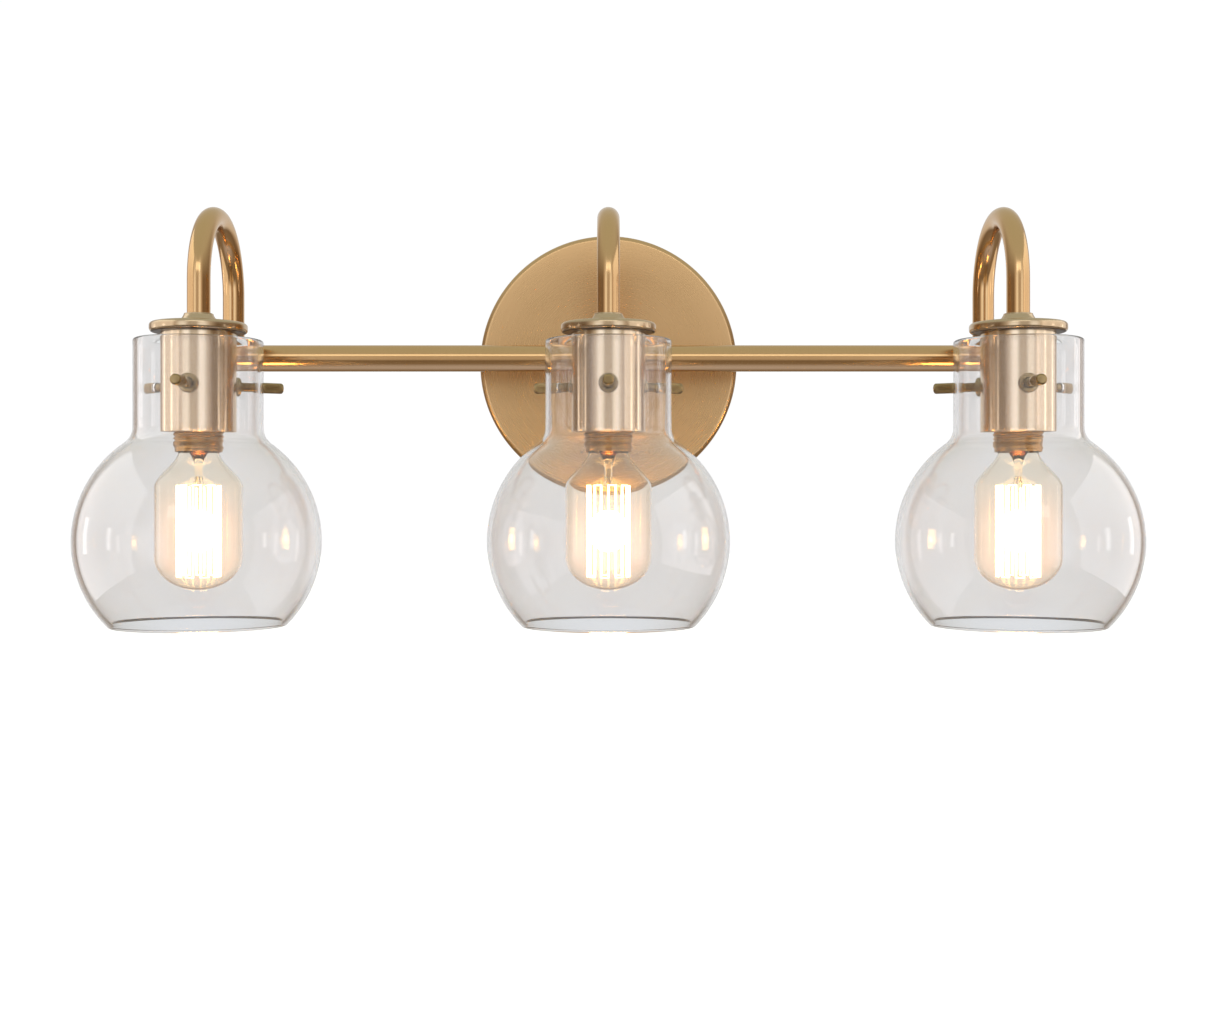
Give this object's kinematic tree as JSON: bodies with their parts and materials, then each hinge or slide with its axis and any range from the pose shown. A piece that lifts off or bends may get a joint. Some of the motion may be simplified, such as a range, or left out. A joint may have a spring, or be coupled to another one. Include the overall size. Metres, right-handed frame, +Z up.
{
  "type": "vanity light bar",
  "caption": "Wall vanity light: round canopy, level bar, gooseneck arms, screw-held clear glass globes open at the bottom and screw-base bulbs.",
  "frame": {"origin": "centre of the canopy's back plane, on the wall", "axes": "+X along the bar, +Z up, +Y into the wall, so the light stands out towards -Y"},
  "size_m": [0.552, 0.195, 0.2242],
  "materials": {
    "brushed_gold": "champagne brass plate, fine brushed, satin lacquer",
    "satin_gold": "paler champagne brass plate, turned satin",
    "zinc_steel": "zinc plated steel",
    "green_screw": "green passivated grounding screw",
    "connector_plastic": "moulded thermoplastic twist-on connector",
    "porcelain": "glazed white porcelain socket body",
    "raw_brass": "stamped bright brass",
    "clear_glass": "clear blown soda-lime glass, fire-polished edges",
    "bulb_glass": "clear thin bulb glass",
    "black_glass": "black glass insulator",
    "filament": "glowing carbon filament",
    "cable_jacket": "off-white wire insulation"
  },
  "bodies": {
    "fixture": {"arm_centre": "brushed_gold", "arm_collar_centre": "brushed_gold", "arm_collar_left": "brushed_gold", "arm_collar_right": "brushed_gold", "arm_left": "brushed_gold", "arm_right": "brushed_gold", "bar": "brushed_gold", "bar_end_caps": "brushed_gold", "canopy": "brushed_gold", "canopy_side_screws": "brushed_gold", "cap_disc_centre": "brushed_gold", "cap_disc_left": "brushed_gold", "cap_disc_right": "brushed_gold", "glass_shade_centre": "clear_glass", "glass_shade_left": "clear_glass", "glass_shade_right": "clear_glass", "ground_screw": "green_screw", "lamp_cable_centre": "cable_jacket", "lamp_cable_left": "cable_jacket", "lamp_cable_right": "cable_jacket", "lock_nuts": "zinc_steel", "mounting_bracket": "zinc_steel", "screw_shell_centre": "raw_brass", "screw_shell_left": "raw_brass", "screw_shell_right": "raw_brass", "socket_body_centre": "porcelain", "socket_body_left": "porcelain", "socket_body_right": "porcelain", "socket_contacts": "raw_brass", "socket_cup_centre": "satin_gold", "socket_cup_left": "satin_gold", "socket_cup_right": "satin_gold", "stem": "brushed_gold", "threaded_nipples": "zinc_steel", "wire_connectors": "connector_plastic"},
    "bulb_centre": {"bulb_base_centre": "raw_brass", "bulb_filament_centre": "filament", "bulb_glass_centre": "bulb_glass", "bulb_insulator_centre": "black_glass", "bulb_stem_centre": "bulb_glass"},
    "bulb_left": {"bulb_base_left": "raw_brass", "bulb_filament_left": "filament", "bulb_glass_left": "bulb_glass", "bulb_insulator_left": "black_glass", "bulb_stem_left": "bulb_glass"},
    "bulb_right": {"bulb_base_right": "raw_brass", "bulb_filament_right": "filament", "bulb_glass_right": "bulb_glass", "bulb_insulator_right": "black_glass", "bulb_stem_right": "bulb_glass"},
    "screw_centre_front": {"thumb_screw_centre_front": "satin_gold"},
    "screw_centre_left": {"thumb_screw_centre_left": "satin_gold"},
    "screw_centre_right": {"thumb_screw_centre_right": "satin_gold"},
    "screw_left_front": {"thumb_screw_left_front": "satin_gold"},
    "screw_left_left": {"thumb_screw_left_left": "satin_gold"},
    "screw_left_right": {"thumb_screw_left_right": "satin_gold"},
    "screw_right_front": {"thumb_screw_right_front": "satin_gold"},
    "screw_right_left": {"thumb_screw_right_left": "satin_gold"},
    "screw_right_right": {"thumb_screw_right_right": "satin_gold"}
  },
  "joints": [
    {"name": "screw_left_front_back_off", "type": "slide", "parent": "fixture", "child": "screw_left_front", "axis": [0, -1, 0], "range_m": [0, 0.0155]},
    {"name": "screw_left_right_back_off", "type": "slide", "parent": "fixture", "child": "screw_left_right", "axis": [0.866, 0.5, 0], "range_m": [0, 0.0155]},
    {"name": "screw_left_left_back_off", "type": "slide", "parent": "fixture", "child": "screw_left_left", "axis": [-0.866, 0.5, 0], "range_m": [0, 0.0155]},
    {"name": "bulb_left_out", "type": "slide", "parent": "fixture", "child": "bulb_left", "axis": [0, 0, -1], "range_m": [0, 0.12]},
    {"name": "screw_centre_front_back_off", "type": "slide", "parent": "fixture", "child": "screw_centre_front", "axis": [0, -1, 0], "range_m": [0, 0.0155]},
    {"name": "screw_centre_right_back_off", "type": "slide", "parent": "fixture", "child": "screw_centre_right", "axis": [0.866, 0.5, 0], "range_m": [0, 0.0155]},
    {"name": "screw_centre_left_back_off", "type": "slide", "parent": "fixture", "child": "screw_centre_left", "axis": [-0.866, 0.5, 0], "range_m": [0, 0.0155]},
    {"name": "bulb_centre_out", "type": "slide", "parent": "fixture", "child": "bulb_centre", "axis": [0, 0, -1], "range_m": [0, 0.12]},
    {"name": "screw_right_front_back_off", "type": "slide", "parent": "fixture", "child": "screw_right_front", "axis": [0, -1, 0], "range_m": [0, 0.0155]},
    {"name": "screw_right_right_back_off", "type": "slide", "parent": "fixture", "child": "screw_right_right", "axis": [0.866, 0.5, 0], "range_m": [0, 0.0155]},
    {"name": "screw_right_left_back_off", "type": "slide", "parent": "fixture", "child": "screw_right_left", "axis": [-0.866, 0.5, 0], "range_m": [0, 0.0155]},
    {"name": "bulb_right_out", "type": "slide", "parent": "fixture", "child": "bulb_right", "axis": [0, 0, -1], "range_m": [0, 0.12]}
  ]
}
